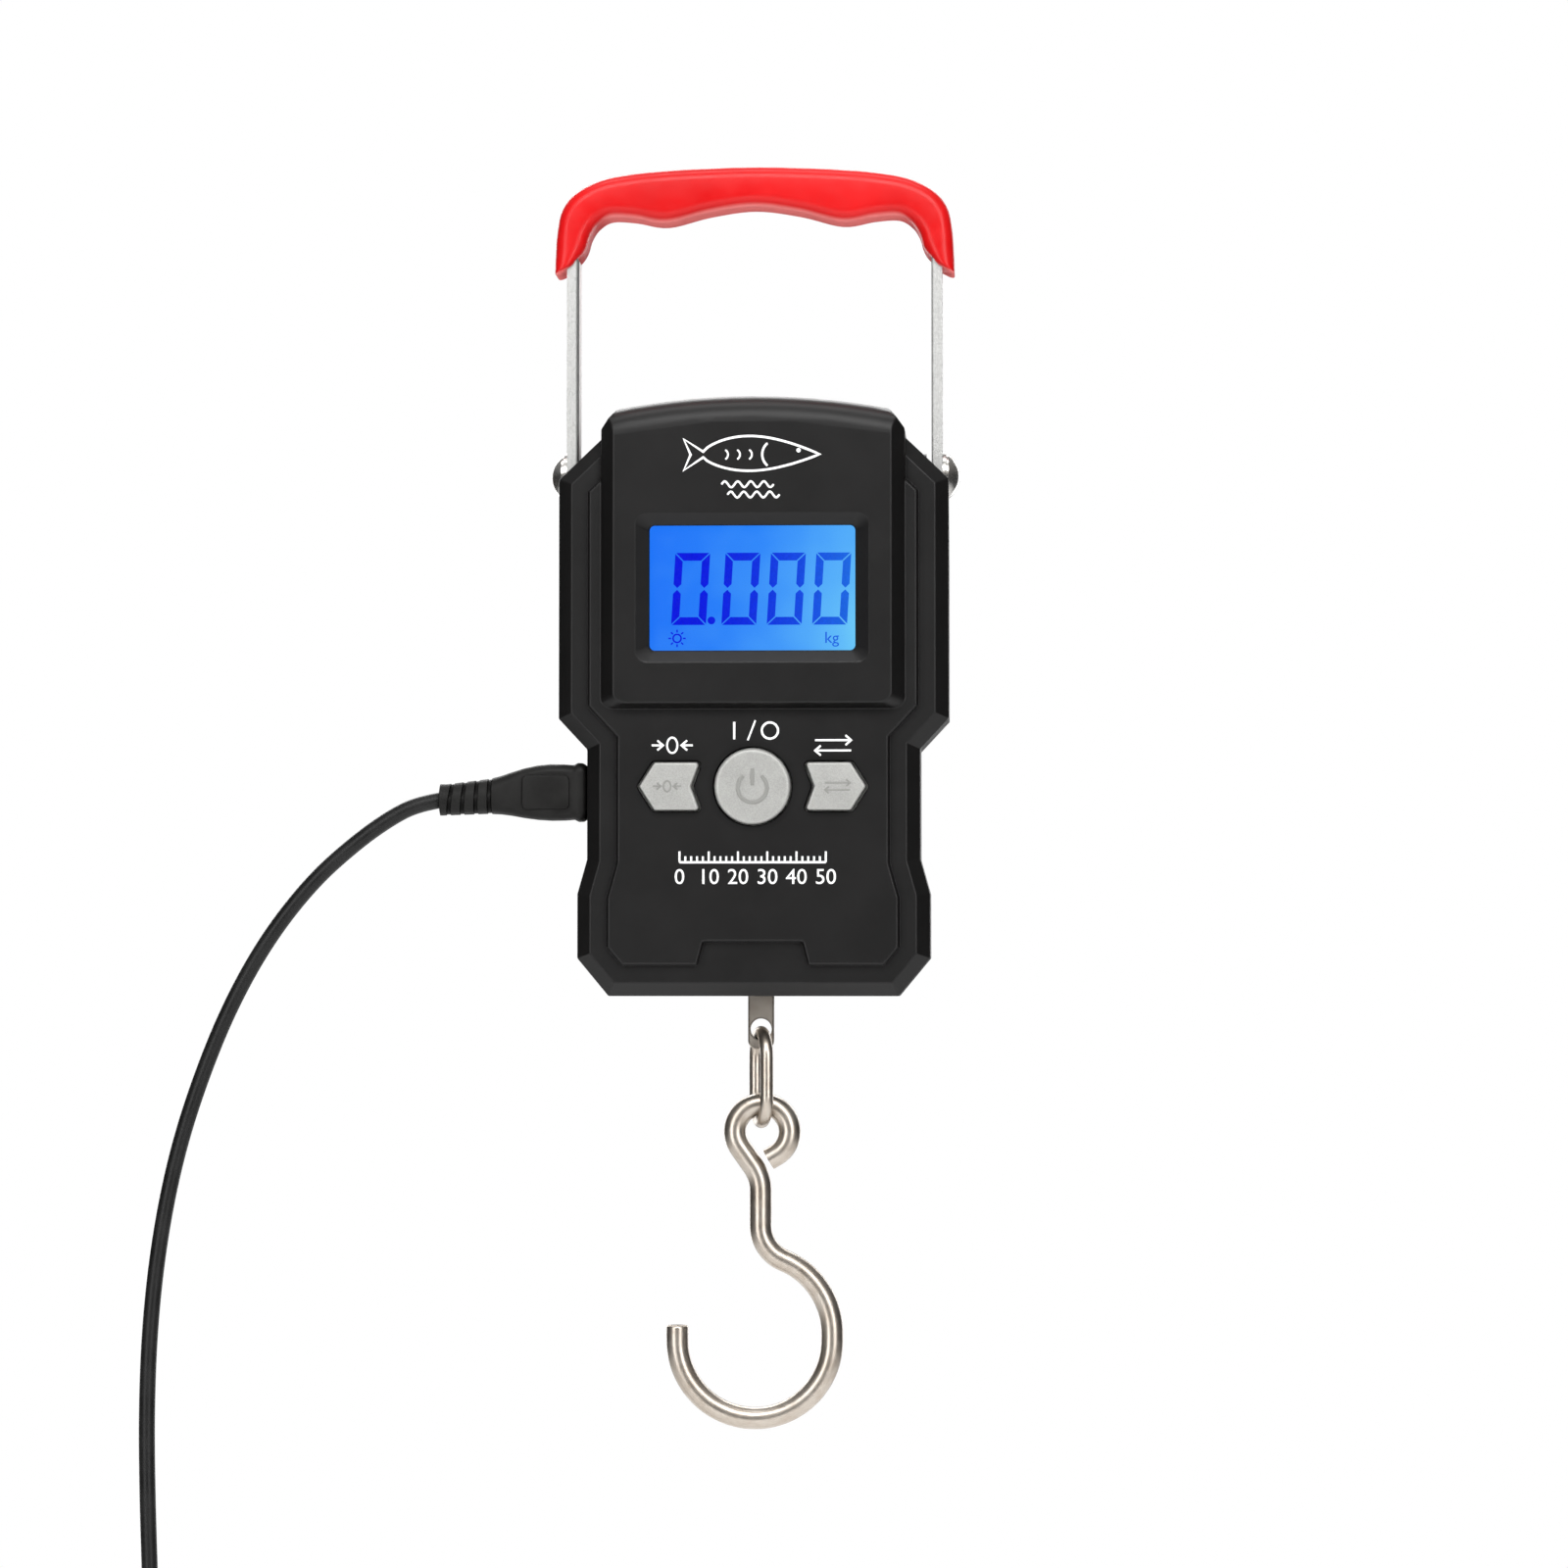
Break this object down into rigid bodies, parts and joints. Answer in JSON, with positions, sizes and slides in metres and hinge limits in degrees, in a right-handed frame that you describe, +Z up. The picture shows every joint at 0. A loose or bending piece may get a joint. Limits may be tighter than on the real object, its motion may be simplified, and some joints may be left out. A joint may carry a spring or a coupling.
{
  "type": "digital fish scale",
  "caption": "Hanging digital fish scale: black stepped housing, blue display, round and arrow keys, folding strap handle with red grip, link, open hook and charging lead.",
  "frame": {"origin": "middle of the grip's underside, where the scale hangs from the hand", "axes": "+Z up along the hanging line, +X to the right seen from the front, +Y to the rear; the display faces -Y"},
  "size_m": [0.1561, 0.0252, 0.3928],
  "materials": {
    "housing_plastic": "satin",
    "key_plastic": "satin",
    "grip_plastic": "satin",
    "strap_steel": "satin",
    "plated_wire": "gloss",
    "frame_steel": "satin",
    "screw_steel": "satin",
    "cell_aluminium": "satin",
    "window_glass": "gloss",
    "lcd_glass": "gloss",
    "backlight_plastic": "gloss",
    "board_laminate": "satin",
    "component_black": "satin",
    "gauge_film": "satin",
    "zebra_rubber": "matte",
    "battery_foil": "satin",
    "tape_foam": "matte",
    "socket_steel": "satin",
    "plug_plastic": "matte",
    "cord_jacket": "satin",
    "tie_rubber": "matte",
    "wire_red": "matte",
    "wire_white": "matte"
  },
  "bodies": {
    "handle": {"handle_grip": "grip_plastic", "handle_strap": "strap_steel"},
    "housing": {"front_shell": "housing_plastic", "rear_shell": "housing_plastic", "case_screws": "screw_steel", "display_window": "window_glass", "lcd_panel": "lcd_glass", "lcd_backlight": "backlight_plastic", "zebra_strips": "zebra_rubber", "main_board": "board_laminate", "board_screws": "screw_steel", "controller_chips": "component_black", "battery_wires": "wire_red", "load_cell_wires": "wire_white", "usb_socket": "socket_steel", "usb_socket_tongue": "component_black", "tact_switches": "component_black", "battery": "battery_foil", "battery_tape": "tape_foam", "load_frame": "frame_steel", "load_cell": "cell_aluminium", "load_cell_bolt": "screw_steel", "strain_gauges": "gauge_film", "hanger_plate": "strap_steel", "hanger_pin": "screw_steel", "pivot_rivets": "plated_wire", "pivot_washers": "plated_wire"},
    "power_key": {"power_button": "key_plastic", "power_plunger": "component_black"},
    "tare_key": {"tare_button": "key_plastic", "tare_plunger": "component_black"},
    "unit_key": {"unit_button": "key_plastic", "unit_plunger": "component_black"},
    "link": {"link_ring": "plated_wire"},
    "hook": {"hook": "plated_wire"},
    "charging_lead": {"charging_plug_boot": "plug_plastic", "charging_plug_shell": "socket_steel", "charging_plug_tongue": "component_black", "charging_cord": "cord_jacket", "charging_cord_hank": "cord_jacket", "charging_cord_tail": "cord_jacket", "cord_tie": "tie_rubber", "usb_a_boot": "plug_plastic", "usb_a_shell": "socket_steel", "usb_a_tongue": "component_black"}
  },
  "joints": [
    {"name": "housing_swing", "type": "hinge", "parent": "handle", "child": "housing", "pos_m": [0, 0, -0.0504], "axis": [1, 0, 0], "range_deg": [0, 135]},
    {"name": "tare_press", "type": "slide", "parent": "housing", "child": "tare_key", "axis": [0, 1, 0], "range_m": [0, 0.0004], "stiffness_N_per_m": 2500},
    {"name": "power_press", "type": "slide", "parent": "housing", "child": "power_key", "axis": [0, 1, 0], "range_m": [0, 0.0004], "stiffness_N_per_m": 2500},
    {"name": "unit_press", "type": "slide", "parent": "housing", "child": "unit_key", "axis": [0, 1, 0], "range_m": [0, 0.0004], "stiffness_N_per_m": 2500},
    {"name": "link_swing", "type": "hinge", "parent": "housing", "child": "link", "pos_m": [0.0011, 0, -0.1541], "axis": [0.2588, -0.9659, 0], "range_deg": [-60, 60]},
    {"name": "hook_swing", "type": "hinge", "parent": "link", "child": "hook", "pos_m": [0.0013, 0, -0.1674], "axis": [1, 0, 0], "range_deg": [-60, 60]},
    {"name": "plug_pull", "type": "slide", "parent": "housing", "child": "charging_lead", "axis": [-1, 0, 0], "range_m": [0, 0.008]}
  ]
}
